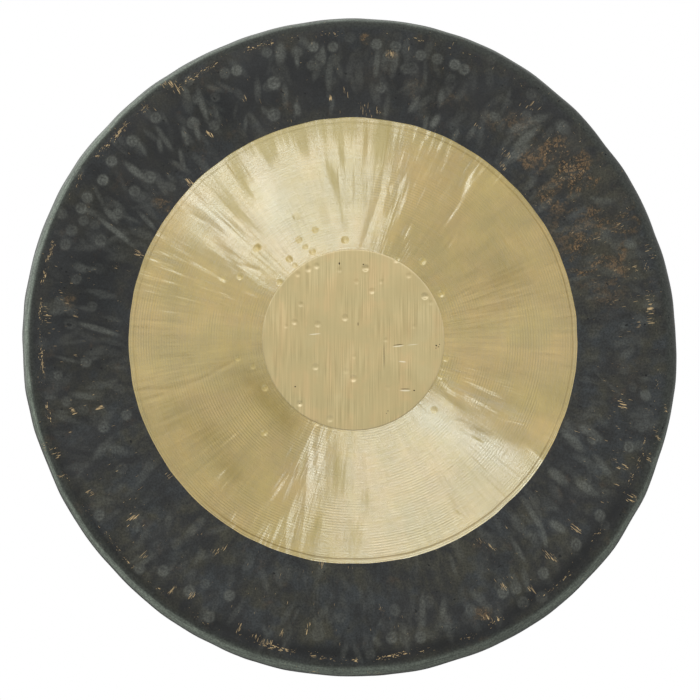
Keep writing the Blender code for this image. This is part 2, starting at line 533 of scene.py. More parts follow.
def newMaterial(name):
    material = bpy.data.materials.new(name)
    material.use_nodes = True
    material.node_tree.nodes.clear()
    return material, material.node_tree


def addNode(tree, kind, inputs=None, **settings):
    made = tree.nodes.new(kind)
    for setting, value in settings.items():
        setattr(made, setting, value)
    for socket, value in (inputs or {}).items():
        if isinstance(value, Field):
            tree.links.new(value.socket, made.inputs[socket])
        else:
            made.inputs[socket].default_value = value
    return made


def newField(tree, kind, inputs=None, output=0, **settings):
    return Field(tree, addNode(tree, kind, inputs, **settings).outputs[output])


def vectorSum(operation, inputs, output=0):
    # inputs: by number, with the first of them a field, and "Scale" where the sum has one
    return newField(inputs[0].tree, "ShaderNodeVectorMath", inputs, output, operation=operation)


def attribute(tree, name):
    return newField(tree, "ShaderNodeAttribute", output="Fac", attribute_name=name)


def ramp(value, low, high, toLow=0.0, toHigh=1.0):
    return newField(
        value.tree,
        "ShaderNodeMapRange",
        {"Value": value, "From Min": low, "From Max": high, "To Min": toLow, "To Max": toHigh},
        "Result",
        interpolation_type="SMOOTHSTEP",
    )


def mixColours(share, first, second):
    # the node's colours are its inputs 6 and 7, and its output 2
    inputs = {"Factor": share}
    for socket, colour in ((6, first), (7, second)):
        inputs[socket] = colour if isinstance(colour, Field) else (*colour, 1)
    return newField(share.tree, "ShaderNodeMix", inputs, 2, data_type="RGBA", clamp_factor=True)


def mixValues(share, first, second):
    inputs = {0: share, 2: first, 3: second}
    return newField(share.tree, "ShaderNodeMix", inputs, data_type="FLOAT")


def fromCentre(tree, centre):
    # flat place on the face from a centre, its way out from there and its distance
    place = newField(tree, "ShaderNodeTexCoord", output="Object")
    shift = {"Vector": place, "Location": (-centre[0], 0, -centre[2]), "Scale": (1, 0, 1)}
    flat = newField(tree, "ShaderNodeMapping", shift)
    return flat, vectorSum("NORMALIZE", {0: flat}), vectorSum("LENGTH", {0: flat}, "Value")


def noise(place, scale, detail=3.0, roughness=0.55, distortion=0.0):
    settings = {
        "Vector": place,
        "Scale": scale,
        "Detail": detail,
        "Roughness": roughness,
        "Distortion": distortion,
    }
    return newField(place.tree, "ShaderNodeTexNoise", settings, "Fac")


def turnedNoise(way, distance, roundTimes, outTimes, detail, roughness, distortion=0.0):
    # noise that runs round the disc without a seam and outwards at its own pace
    spun = vectorSum("SCALE", {0: way, "Scale": roundTimes})
    out = newField(way.tree, "ShaderNodeCombineXYZ", {"Y": distance * outTimes})
    return noise(vectorSum("ADD", {0: spun, 1: out}), 1.0, detail, roughness, distortion)


def patterns(finish, flat, way, distance):
    # every noise of a finish, by name: the even ones at a flat place, the turned ones round it
    pattern = {name: noise(flat, *settings) for name, settings in finish["even"].items()}
    for name, settings in finish["turned"].items():
        pattern[name] = turnedNoise(way, distance, *settings)
    return pattern


def times(colour, share):
    return vectorSum("SCALE", {0: colour, "Scale": share})


def leanNormal(leans):
    # the surface leans each way by its slope, as on the flank of a tool mark
    normal = newField(leans[0][0].tree, "ShaderNodeNewGeometry", output="Normal")
    for way, slope in leans:
        normal = vectorSum("ADD", {0: normal, 1: vectorSum("SCALE", {0: way, "Scale": slope})})
    return vectorSum("NORMALIZE", {0: normal})


def bumpNormal(height, distance):
    inputs = {"Height": height, "Strength": 1.0, "Distance": distance}
    return newField(height.tree, "ShaderNodeBump", inputs)


def spots(flat, places):
    # 1 inside each small oval and 0 outside. Places: both ends and half width, in millimetres
    share = 0.0
    for startRight, startUp, endRight, endUp, halfWidth in places:
        lean = math.atan2(endUp - startUp, endRight - startRight)
        halfLength = math.hypot(endRight - startRight, endUp - startUp) / 2 + halfWidth
        frame = {
            "Vector": flat,
            "Location": ((startRight + endRight) / 2000, 0, (startUp + endUp) / 2000),
            "Rotation": (0, -lean, 0),
            "Scale": (halfLength / 1000, 1, halfWidth / 1000),
        }
        oval = newField(flat.tree, "ShaderNodeMapping", frame, vector_type="TEXTURE")
        inside = ramp(vectorSum("LENGTH", {0: oval}, "Value"), 0.6, 1.2, 1.0, 0.0)
        share = inside.reckon("MAXIMUM", share, inside)
    return share


def showBoth(share, shaders, output="ShaderNodeOutputMaterial"):
    # two shaders side by side: the first where the share is 0, the second where it is 1
    both = newField(share.tree, "ShaderNodeMixShader", {0: share, 1: shaders[0], 2: shaders[1]})
    addNode(share.tree, output, {"Surface": both})


def showMetal(finish, colour, share, tangent, normal):
    # matt metal in the cuts and burnished metal on their crests
    shaders = []
    for part, base in (("matt", colour), ("burnished", (*finish["burnishedColour"], 1))):
        inputs = {
            "Base Color": base,
            "Metallic": 1.0,
            "Roughness": finish[part + "Roughness"],
            "Anisotropic": finish[part + "Anisotropy"],
            "Tangent": tangent,
            "Normal": normal,
        }
        shaders.append(newField(share.tree, "ShaderNodeBsdfPrincipled", inputs))
    showBoth(share, shaders)


# Turned ring: grooves of the lathe, which give the two bright fans under the lamps
turnedFinish = {
    "groovePitch": 0.0028,
    "grooveWaver": 9.0,
    "edgePitch": 0.0019,  # of the lines in the first cut, round the edge
    "even": {  # scale, detail and roughness of each noise over the face
        "waver": (9.0, 1.0, 0.55),
        "frayed": (13.0, 2.0, 0.55),
        "toneCloud": (17.0, 5.0, 0.62),
    },
    "turned": {  # and for each one along the turning: how often round and out, detail, roughness
        "cuts": (1.6, 1300, 2.0, 0.5),
        "fade": (2.5, 26, 2.0, 0.55),
        "fine": (12.0, 30000, 1.0, 0.5),
        "rays": (58.0, 16.0, 2.0, 0.6),
        "stain": (3.6, 14.0, 4.0, 0.6),
        "smear": (13.0, 9.0, 4.0, 0.65),
        "streaks": (62.0, 12.0, 4.0, 0.7),
    },
    "mattColour": (0.424, 0.312, 0.069),
    "mattWarm": (0.472, 0.324, 0.083),
    "grooveColour": (0.33, 0.25, 0.060),
    "dirtColour": (0.20, 0.145, 0.050),
    "shadeColour": (0.235, 0.172, 0.048),
    "pressedColour": (0.62, 0.52, 0.25),
    "dullColour": (0.375, 0.315, 0.135),
    "burnishedColour": (0.590, 0.645, 0.630),
    "mattRoughness": 0.62,
    "mattAnisotropy": 0.6,
    "burnishedRoughness": 0.245,
    "burnishedAnisotropy": 1.0,
    "burnishedShare": (0.18, 0.23),
    "brightShare": 0.13,  # and how much more where it was rubbed bright
    "grooveShare": 0.10,  # how much less in the grooves
    "pressedShare": 0.6,
    "streakShare": 1.5,
    "fineSlope": 1.6,  # how far the flanks of the fine cuts lean in or out
    "cutSlope": 0.07,
    "grooveSlope": 0.085,
    "edgeSlope": 0.12,
    "raySlope": 0.34,  # how far the thin rays lean round the ring
}


def turnedBronze():
    finish = turnedFinish
    material, tree = newMaterial("turnedBronze")
    flat, way, distance = fromCentre(tree, ringCentre)
    firstCut, dirt, pressed, dull, bright, shade = [
        attribute(tree, name)
        for name in ("firstCut", "dirt", "pressed", "dull", "bright", "shade")
    ]
    pattern = patterns(finish, flat, way, distance)
    cuts = pattern["cuts"]
    turns = distance * (math.tau / finish["groovePitch"]) + pattern["waver"] * finish["grooveWaver"]
    groove = turns.sine() * ramp(pattern["fade"], 0.38, 0.62, 0.1, 1.0)
    rings = (distance * (math.tau / finish["edgePitch"])).sine() * firstCut
    slope = (pattern["fine"] - 0.5) * finish["fineSlope"]
    slope = slope + (cuts - 0.5) * finish["cutSlope"]
    slope = slope + groove * finish["grooveSlope"] + rings * finish["edgeSlope"]
    # thin rays, which fray the edges of the bright fans
    rays = (pattern["rays"] - 0.5) * ramp(pattern["frayed"], 0.38, 0.62, 0.12, 1.0)
    roundWay = vectorSum("CROSS_PRODUCT", {0: way, 1: (0, 1, 0)})
    normal = leanNormal([(way, slope), (roundWay, rays * finish["raySlope"])])
    colour = mixColours(
        ramp(pattern["stain"], 0.35, 0.7), finish["mattColour"], finish["mattWarm"]
    )
    colour = times(colour, ramp(pattern["smear"], 0.3, 0.7, 0.94, 1.05))
    colour = times(colour, ramp(pattern["toneCloud"], 0.34, 0.64, 0.90, 1.05))
    shade = shade * ramp(pattern["toneCloud"], 0.3, 0.6, 0.75, 0.35)
    valleys = ramp(groove + rings, 0.0, 1.2, 0.0, 0.8)
    dull = ramp(dull + (pattern["streaks"] - 0.5) * finish["streakShare"], 0.3, 1.0, 0.0, 0.7)
    for share, layer in (
        (shade, "shadeColour"),
        (valleys, "grooveColour"),
        (pressed * finish["pressedShare"], "pressedColour"),
        (dirt, "dirtColour"),
        (dull, "dullColour"),
    ):
        colour = mixColours(share, colour, finish[layer])
    crests = cuts - groove * finish["grooveShare"]
    share = ramp(crests, 0.3, 0.7, *finish["burnishedShare"]) + bright * finish["brightShare"]
    share = share * (1 - dull.larger(shade))
    share = share * ramp(pressed, 0.0, 1.0, 1.0, 0.12) * (1 - dirt)
    showMetal(finish, colour, share, way, normal)
    return material


# Scraped centre: upright lines of the scraper, a few pits and scratches
scrapedFinish = {
    "even": {"cloud": (34.0, 3.0, 0.55), "pale": (22.0, 3.0, 0.5, 0.4)},
    "upright": {  # how often each noise runs across and up, its detail and its roughness
        "comb": (760, 20, 1.0, 0.5),
        "lines": (430, 9, 2.0, 0.6),
        "bands": (95, 9, 2.0, 0.5),
        "patch": (34, 20, 2.0, 0.5),
    },
    "mattColour": (0.437, 0.329, 0.113),
    "mattGrey": (0.412, 0.322, 0.112),
    "mattPink": (0.470, 0.335, 0.118),
    "mattPale": (0.455, 0.370, 0.155),
    "pitColour": (0.035, 0.025, 0.018),
    "scratchColour": (0.85, 0.82, 0.66),
    "burnishedColour": (0.66, 0.62, 0.50),
    "mattRoughness": 0.62,
    "mattAnisotropy": 0.5,
    "burnishedRoughness": 0.42,
    "burnishedAnisotropy": 0.85,
    "burnishedShare": (0.20, 0.30),
    "lineHeight": 0.00003,
    "lineShare": 0.18,  # of the broad lines beside the fine comb
    "scratchShare": 0.6,
    "scratches": [
        (-46.9, 5.3, -35.7, 6.3, 0.6), (42.7, -7.7, 54, -6.4, 0.6),
        (49.5, -23.5, 56.2, -24.1, 0.7), (50.6, -55, 60.8, -55, 0.8), (58, -6, 70, -4.6, 0.3),
    ],
    "pits": [
        (-15.1, 83, -15.1, 81.8, 0.8), (10.7, 81.5, 11, 81.5, 0.7), (89, -6, 89.6, -6.4, 0.8),
        (91.5, -7.6, 91.8, -7.6, 0.6), (88.8, -9, 89, -9, 0.5), (92.6, -4.8, 92.8, -5, 0.5),
        (-62.5, -50.9, -62.3, -50.9, 0.8), (65.2, -54.8, 65.5, -54.8, 0.8),
        (5.1, 18.6, 5.1, 15, 0.4), (37.1, -76.9, 37.4, -76.9, 0.5),
        (35.4, -79.8, 35.6, -79.6, 0.4), (-57.5, -69, -57.4, -69, 0.5),
        (42.7, -6.1, 54, -4.8, 0.35), (50.6, -53.2, 60.8, -53.2, 0.35),
        (33, -2.6, 33, -31.8, 0.3),
    ],
}


def scrapedBronze():
    finish = scrapedFinish
    material, tree = newMaterial("scrapedBronze")
    flat = fromCentre(tree, ringCentre)[0]
    pattern = {name: noise(flat, *settings) for name, settings in finish["even"].items()}
    for name, (across, up, detail, roughness) in finish["upright"].items():
        stretch = {"Vector": flat, "Scale": (across, 1, up)}
        stretched = newField(tree, "ShaderNodeMapping", stretch)
        pattern[name] = noise(stretched, 1.0, detail, roughness)
    comb = (pattern["comb"] - 0.5) * ramp(pattern["patch"], 0.4, 0.6, 0.15, 1.0)
    lines = comb + (pattern["lines"] - 0.5) * finish["lineShare"] + 0.5
    cloud = pattern["cloud"]
    scratches, pits = spots(flat, finish["scratches"]), spots(flat, finish["pits"])
    colour = mixColours(ramp(cloud, 0.36, 0.62), finish["mattGrey"], finish["mattColour"])
    warmth = ramp(pattern["bands"], 0.45, 0.65) * ramp(cloud, 0.42, 0.6)
    colour = mixColours(warmth, colour, finish["mattPink"])
    colour = mixColours(ramp(pattern["pale"], 0.55, 0.72, 0, 0.6), colour, finish["mattPale"])
    colour = times(colour, ramp(lines, 0.3, 0.7, 0.85, 1.13))
    colour = mixColours(pits, colour, finish["pitColour"])
    colour = mixColours(scratches * finish["scratchShare"], colour, finish["scratchColour"])
    share = ramp(lines, 0.3, 0.7, *finish["burnishedShare"]) * (1 - pits)
    sideways = newField(tree, "ShaderNodeCombineXYZ", {"X": 1.0})
    showMetal(finish, colour, share, sideways, bumpNormal(lines, finish["lineHeight"]))
    return material


# Black fire scale: mottled, rubbed on its blows, stained and chipped, with painted shade and
# painted light, and polished on the shoulder with a painted sheen
scaleFinish = {
    "even": {  # scale, detail, roughness and distortion of each noise through the metal
        "cloud": (13.0, 5.0, 0.6),
        "mottle": (62.0, 3.0, 0.6, 0.4),
        "hue": (21.0, 3.0, 0.6),
        "blotch": (44.0, 4.0, 0.6),
        "grain": (480.0, 4.0, 0.65),
        "cracks": (230.0, 3.0, 0.7, 1.2),
        "brown": (55.0, 4.0, 0.6),
        "pits": (150.0, 1.0, 0.55),
        "broken": (34.0, 2.0, 0.55),
    },
    "turned": {  # how often round and out, detail, roughness and distortion
        "streak": (24, 22, 4.0, 0.6),
        "ragged": (15, 30, 5.0, 0.68, 0.5),
        "dashes": (100, 850, 2.0, 0.6, 0.2),
        "nicks": (330, 105, 1.0, 0.6, 0.3),
        "flecks": (190, 520, 3.0, 0.7, 0.8),
        "scored": (11, 560, 3.0, 0.6),
    },
    "tone": {"cloud": 0.3, "streak": 0.35, "mottle": 0.35},
    "backBlows": 52.0,  # of the round face that hammered the back: how many to the metre
    "backRub": 0.45,
    "plates": 210.0,  # of the crazed stain: how many to the metre, and how far they are bent
    "plateBend": 0.009,
    "plateBends": 130.0,
    "dark": (0.0190, 0.0202, 0.0198),
    "olive": (0.049, 0.048, 0.034),
    "blue": (0.037, 0.0425, 0.0435),
    # painted shade, and also the dark of pits and of the gaps between the plates of crazed stain
    "paintedShadeAndPitDark": (0.006, 0.007, 0.007),
    # painted light: the shoulder made paler where its turn away from the lamps darkens it
    "paintedShoulderLight": (0.050, 0.055, 0.048),
    # painted sheen: the pale colour of the polished band, standing in for the reflection of a
    # bright background
    "polishedPaintedSheen": (0.235, 0.28, 0.225),
    "rubbed": (0.142, 0.150, 0.130),
    "bare": (0.66, 0.48, 0.25),
    "copper": (0.38, 0.26, 0.125),
    "tarnish": (0.066, 0.056, 0.033),
    "rust": (0.160, 0.096, 0.045),
    "roughness": (0.44, 0.56),
    "specular": 0.22,
    "polishedRoughness": 0.28,
    "polishedSpecular": 0.8,
    "grain": 0.00006,
    "chipDepth": 1.2,  # in grains
    "pitDepth": 3.0,
    "blowDepth": 5.0,
    "pits": [
        (-307, 76.7, -307, 76.7, 1.3), (-308.6, 59.5, -308.6, 59.5, 1.1),
        (-304.5, 19.8, -302, 19.6, 1.8), (-279.7, -7.2, -279.7, -7.2, 1.2),
        (223.4, -228.5, 223.4, -228.5, 1.6), (288.8, -184, 288.8, -184, 1.2),
    ],
}


def crazing(place, copper):
    # where the stain is thickest it is crazed, in uneven plates: 1 on them and less between them
    tree = place.tree
    scale = {"Vector": place, "Scale": scaleFinish["plateBends"]}
    bend = newField(tree, "ShaderNodeTexNoise", scale, "Color")
    bent = vectorSum("MULTIPLY_ADD", {0: bend, 1: (scaleFinish["plateBend"],) * 3, 2: place})
    plates = newField(
        tree,
        "ShaderNodeTexVoronoi",
        {"Vector": bent, "Scale": scaleFinish["plates"]},
        "Distance",
        feature="DISTANCE_TO_EDGE",
    )
    return mixValues(ramp(copper, 0.5, 0.9), 1.0, ramp(plates, 0.03, 0.15, 0.15, 1.0))


def backBlows(place, back):
    # the back was hammered all over with a round face and never turned
    tree = place.tree
    cells = {"Vector": place, "Scale": scaleFinish["backBlows"], "Randomness": 0.9}
    made = addNode(tree, "ShaderNodeTexVoronoi", cells)
    blow = ramp(Field(tree, made.outputs["Distance"]), 0.2, 0.5, 1.0, 0.0)
    chance = Field(tree, made.outputs["Color"])
    return blow * newField(tree, "ShaderNodeSeparateXYZ", {0: chance}, "X") * back


def blackScale():
    finish = scaleFinish
    material, tree = newMaterial("blackScale")
    place = newField(tree, "ShaderNodeTexCoord", output="Object")
    flat, way, distance = fromCentre(tree, discCentre)
    # outwards along the face, then back along the rim
    distance = distance + newField(tree, "ShaderNodeSeparateXYZ", {0: place}, "Y")
    rub, bare, copper, edge, paintedShadeAndPitDark, roll, polishAndPaintedSheen, back = [
        attribute(tree, name)
        for name in ("rub", "bare", "copper", "edge", "paintedShadeAndPitDark", "roll", "polishAndPaintedSheen", "back")
    ]
    pattern = patterns(finish, place, way, distance)
    cloud, mottle, grain = pattern["cloud"], pattern["mottle"], pattern["grain"]
    blow = backBlows(place, back)
    rub = rub.larger(blow * finish["backRub"])
    streak = mixValues(ramp(distance, 0.08, 0.26), pattern["blotch"], pattern["streak"])
    shares = finish["tone"]
    tone = cloud * shares["cloud"] + streak * shares["streak"] + mottle * shares["mottle"]
    light = mixColours(ramp(pattern["hue"], 0.42, 0.58), finish["olive"], finish["blue"])
    colour = mixColours(ramp(tone, 0.40, 0.60), finish["dark"], light)
    ragged = ramp(pattern["ragged"], 0.44, 0.57, 0.0, 1.0)
    cracks = ramp(pattern["cracks"], 0.44, 0.53, 0.12, 1.0) * crazing(place, copper)
    tarnish = copper * ramp(ragged, 0.0, 1.0, 0.3, 1.0)
    copper = copper * ragged * cracks
    pits = ramp(pattern["pits"], 0.73, 0.78).larger(spots(flat, finish["pits"]))
    for share, layer in (
        # painted shade: darker at the bottom inside the shoulder and over the upper half
        (paintedShadeAndPitDark, "paintedShadeAndPitDark"),
        # painted light over the shoulder
        (roll, "paintedShoulderLight"),
        (ramp(tarnish, 0.0, 0.7, 0, 0.7), "tarnish"),
        (ramp(copper, 0.12, 0.75, 0, 0.85), "rust"),
        (tarnish * ramp(cracks, 0.12, 0.7, 0.7, 0.0), "paintedShadeAndPitDark"),
        (ramp(pattern["brown"], 0.6, 0.8, 0, 0.16), "rust"),
        (rub * ramp(mottle, 0.3, 0.62, 0.5, 1.0), "rubbed"),
        (pits, "paintedShadeAndPitDark"),
    ):
        colour = mixColours(share, colour, finish[layer])
    # chips: thin dashes along the shoulder, short nicks along the blows elsewhere
    dashes = pattern["dashes"] + edge * ramp(pattern["broken"], 0.40, 0.58, 0.0, 0.27)
    nicks = pattern["nicks"] + bare * 0.22 - 0.02
    chips = ramp(dashes.larger(nicks), 0.75, 0.79)
    flecks = ramp(pattern["flecks"] + copper * 0.2, 0.72, 0.80) * ramp(copper, 0.05, 0.3)
    height = grain - chips * finish["chipDepth"] - pits * finish["pitDepth"]
    bump = bumpNormal(height - blow * finish["blowDepth"], finish["grain"])
    roughness = ramp(cloud, 0.3, 0.7, *finish["roughness"])
    scored = ramp(pattern["scored"], 0.3, 0.7, 0.55, 1.45)
    # the polished band: a shinier shader, whose pale streaked colour is a painted sheen
    polishedPaintedSheen = newField(
        tree, "ShaderNodeVectorMath", {0: finish["polishedPaintedSheen"], "Scale": scored}, operation="SCALE"
    )
    speckle = ramp(grain, 0.3, 0.7, 0.6, 1.4)
    worn = chips * ramp(mottle, 0.36, 0.6, 0.4, 0.95)
    shaders = []
    for base, rough, specular in (
        (colour, roughness, finish["specular"]),
        (polishedPaintedSheen, finish["polishedRoughness"], finish["polishedSpecular"]),
    ):
        base = mixColours(flecks, times(base, speckle), finish["copper"])
        inputs = {
            "Base Color": mixColours(worn, base, finish["bare"]),
            "Metallic": 0.0,
            "Roughness": rough,
            "Specular IOR Level": specular,
            "Normal": bump,
        }
        shaders.append(newField(tree, "ShaderNodeBsdfPrincipled", inputs))
    showBoth(polishAndPaintedSheen, shaders)
    return material


# Chips to bare metal, copper stains and worn edges, as the face is seen, in millimetres, with the
# black scale's painted shade, painted light and painted sheen
wearAndPaintedLight = {
    "backBare": 0.12,
    "wander": ((0.0018, 7), (0.0012, 19)),  # of the worn edges: height in metres and lobes
    # the rolled shoulder, in millimetres past its start: painted paler all round, as painted light,
    # and polished in part, with a painted sheen
    "rollStart": (0, 9),
    "rollEnd": (16, 23),
    # the polished band: its shine is real, its pale colour a painted sheen, stronger at the left,
    # top left and bottom than at the right
    "polishAndPaintedSheen": [  # degrees round from the right, where it starts and how strong it is
        (0, 14, 0), (40, 14, 0.05), (60, 12, 0.3), (80, 10, 0.5), (100, 9.5, 0.66),
        (120, 8.2, 0.78), (140, 6.4, 1.0), (160, 6.2, 0.95), (180, 6.6, 0.9), (200, 9, 0.78),
        (220, 8.4, 0.78), (240, 6, 0.62), (260, 5.5, 0.46), (280, 4.2, 0.35), (300, 4.2, 0.24),
        (320, 6, 0.42), (340, 9.5, 0.36), (360, 14, 0),
    ],
    "polishAndSheenRun": 4.5,
    "polishAndSheenEnd": (16, 21),
    # painted shade: darker at the bottom just inside the shoulder and over the upper half of the
    # black ring. From and to degrees, radius laid flat, half width and strength
    "paintedShadeAndPitDark": [(235, 335, 334, 9, 0.95), (195, 235, 341, 6, 0.6), (52, 192, 292, 58, 0.78)],
    "chips": [
        (-203, 283, -186, 277, 8, 1), (-118, 268, -115, 265, 4, 1), (-157, 228, -150, 225, 4, 1),
        (-177, 176, -173, 173, 4, 1), (-231, 98, -225, 94, 4, 1), (-256, 84, -252, 82, 3, 1),
        (-24, 270, -22, 261, 3, 1), (-8, 276, -4, 269, 3, 0.9), (40, 318, 44, 314, 4, 0.9),
        (12, 258, 20, 248, 6, 0.8), (27, 256, 30, 250, 3, 1), (134, 239, 138, 234, 3, 1),
        (165, 209, 170, 203, 5, 0.8), (161, 197, 165, 191, 4, 1), (187, 262, 203, 258, 7, 0.7),
        (264, 142, 296, 140, 5, 0.6), (236, 120, 251, 117, 5, 0.5), (300, 85, 306, 81, 6, 0.8),
        (288, 130, 294, 126, 5, 0.7), (318, 108, 326, 95, 6, 0.7), (320, 52, 324, 20, 6, 0.9),
        (278, 48, 285, 44, 6, 0.7), (304, 26, 310, 21, 5, 0.8), (286, -63, 294, -67, 6, 0.8),
        (336, -64, 339, -73, 4, 0.9), (328, -91, 332, -101, 5, 1), (254, -100, 261, -104, 3, 1),
        (286, -126, 293, -134, 7, 0.8), (319, -117, 322, -128, 5, 0.8),
        (281, -152, 286, -154, 3, 1), (292, -161, 306, -168, 7, 0.7),
        (236, -194, 244, -202, 5, 0.9), (208, -224, 217, -232, 5, 0.9),
        (166, -195, 171, -199, 3, 0.9), (140, -212, 152, -220, 6, 0.8),
        (190, -261, 197, -267, 3, 1), (161, -260, 167, -266, 4, 0.9), (31, -280, 34, -291, 3, 1),
        (140, -293, 149, -296, 4, 0.8), (152, -295, 160, -296, 3, 0.9),
        (-300, -73, -296, -75, 4, 1), (-274, -71, -267, -68, 3, 1),
        (-240, -72, -236, -71, 2.5, 1), (-315, -140, -307, -144, 5, 0.9),
        (-333, -110, -329, -116, 4, 0.9), (-320, -116, -315, -121, 6, 0.7),
        (-284, -158, -276, -163, 4, 0.8), (-240, -190, -227, -184, 3, 0.9),
        (-146, -226, -136, -220, 4, 0.8), (-228, -230, -220, -226, 5, 0.8),
        (-196, -268, -188, -262, 3, 1), (-173, -274, -168, -269, 4, 0.8),
        (-122, -310, -118, -300, 3, 1), (-106, -314, -82, -322, 5, 0.9),
        (-75, -317, -74, -308, 2.5, 1), (-48, -312, -44, -300, 3, 1),
        (-33, -242, -31, -234, 2.5, 1), (-199, -138, -191, -146, 4, 0.7),
        (-330, 40, -322, 12, 6, 0.7), (-318, 55, -310, 45, 6, 0.6), (-300, 30, -294, 26, 4, 0.7),
        (-262, 235, -255, 228, 5, 0.6), (-225, 262, -214, 254, 6, 0.6),
        (275, 120, 300, 10, 34, 0.2), (300, -40, 280, -130, 30, 0.2),
        (230, 190, 200, 240, 26, 0.2), (-240, -150, -200, -220, 30, 0.15),
        (-290, 90, -300, -40, 22, 0.2), (120, -270, 200, -240, 24, 0.15),
    ],
    "copper": [
        (222, 205, 248, 178, 30, 1), (258, 99, 258, 92, 30, 0.9), (207, 160, 214, 156, 16, 0.8),
        (282, 128, 288, 70, 18, 0.55), (-205, 155, -195, 148, 14, 0.45),
        (62, 280, 120, 262, 20, 0.3), (15, 333, 17, 331, 7, 0.6), (40, 316, 46, 314, 6, 0.6),
        (200, 230, 150, 245, 20, 0.35), (262, 140, 300, 132, 18, 0.8),
        (186, 205, 205, 190, 14, 0.6), (252, 112, 244, 90, 15, 0.8),
        (225, 195, 275, 60, 48, 0.42), (300, 20, 295, -60, 30, 0.2),
        (100, 285, 20, 290, 30, 0.2), (290, 160, 300, 150, 10, 0.5),
        (-301, 60, -304, 40, 9, 0.4), (130, -290, 158, -292, 10, 0.45),
    ],
    "edges": [
        (96, 180, 338, 3.2, 0.8), (118, 166, 339, 3.0, 1.0), (64, 96, 337, 2.6, 0.75),
        (20, 62, 336, 3, 0.45), (-12, 18, 333, 4, 0.55), (-40, -12, 333, 4, 0.6),
        (180, 200, 337, 3.2, 0.85), (200, 250, 338, 3, 0.5), (250, 285, 336, 3.4, 0.85),
        (285, 318, 336, 3, 0.6), (255, 275, 355, 4, 0.7),
    ],
}


def arcShare(angle, fromAngle, toAngle, softness):
    # 1 between two places round the disc, in degrees, and 0 elsewhere, with soft ends
    middle = math.radians((fromAngle + toAngle) / 2)
    reach = math.radians((toAngle - fromAngle) / 2)
    off = np.abs(np.mod(angle - middle + math.pi, math.tau) - math.pi)
    return 1 - smoothStep(off, reach * (1 - softness), reach * (1 + softness))


def followEdge(rows, along, angle):
    # rows: from and to degrees, radius laid flat, half width and strength
    share = np.zeros_like(along)
    for fromAngle, toAngle, radius, halfWidth, strength in rows:
        fade = arcShare(angle, fromAngle, toAngle, 0.25)
        wander = sum(height * np.sin(angle * lobes + radius) for height, lobes in wearAndPaintedLight["wander"])
        line = np.exp(-(((along + wander - radius / 1000) / (halfWidth / 1000)) ** 2))
        share = np.maximum(share, strength * fade * line)
    return share


def wearAndPaintedLightShell(mesh, along, angle, front):
    # how chipped and coppery each point is for the black scale, how much painted shade and painted
    # light it carries, and how polished it is, with a painted sheen
    right, up = unroll(along, angle)
    bare = pressMarks(right, up, placeStrokes(wearAndPaintedLight["chips"], 0, 1))[1]
    copper = pressMarks(right, up, placeStrokes(wearAndPaintedLight["copper"], 0, 1))[1]
    past = (along - shoulderStart) * 1000
    # painted light: paler over the shoulder, all round
    roll = smoothStep(past, *wearAndPaintedLight["rollStart"]) * (1 - smoothStep(past, *wearAndPaintedLight["rollEnd"]))
    # polish with a painted sheen, strong or weak round the disc
    turns, starts, strengths = zip(*wearAndPaintedLight["polishAndPaintedSheen"])
    degrees = np.mod(np.degrees(angle), 360)
    start = np.interp(degrees, turns, starts)
    polishAndPaintedSheen = smoothStep(past, start, start + wearAndPaintedLight["polishAndSheenRun"])
    polishAndPaintedSheen *= np.interp(degrees, turns, strengths) * (1 - smoothStep(past, *wearAndPaintedLight["polishAndSheenEnd"]))
    keepOnPoints(mesh, "bare", np.where(front, bare, wearAndPaintedLight["backBare"]))
    keepOnPoints(mesh, "copper", np.where(front, copper, 0))
    keepOnPoints(mesh, "edge", np.where(front, followEdge(wearAndPaintedLight["edges"], along, angle), 0))
    # painted shade on the black ring's face
    keepOnPoints(mesh, "paintedShadeAndPitDark", np.where(front, followEdge(wearAndPaintedLight["paintedShadeAndPitDark"], along, angle), 0))
    keepOnPoints(mesh, "roll", np.where(front, roll, 0))
    keepOnPoints(mesh, "polishAndPaintedSheen", np.where(front, polishAndPaintedSheen, 0))
    keepOnPoints(mesh, "back", np.where(front, 0, 1))


def scaleTheBack(mesh, front):
    # the second material covers every face that isn't part of the bright front
    for face in mesh.polygons:
        face.material_index = 0 if any(front[corner] for corner in face.vertices) else 1


turned = turnedBronze()
scraped = scrapedBronze()
scale = blackScale()
print("materials made")

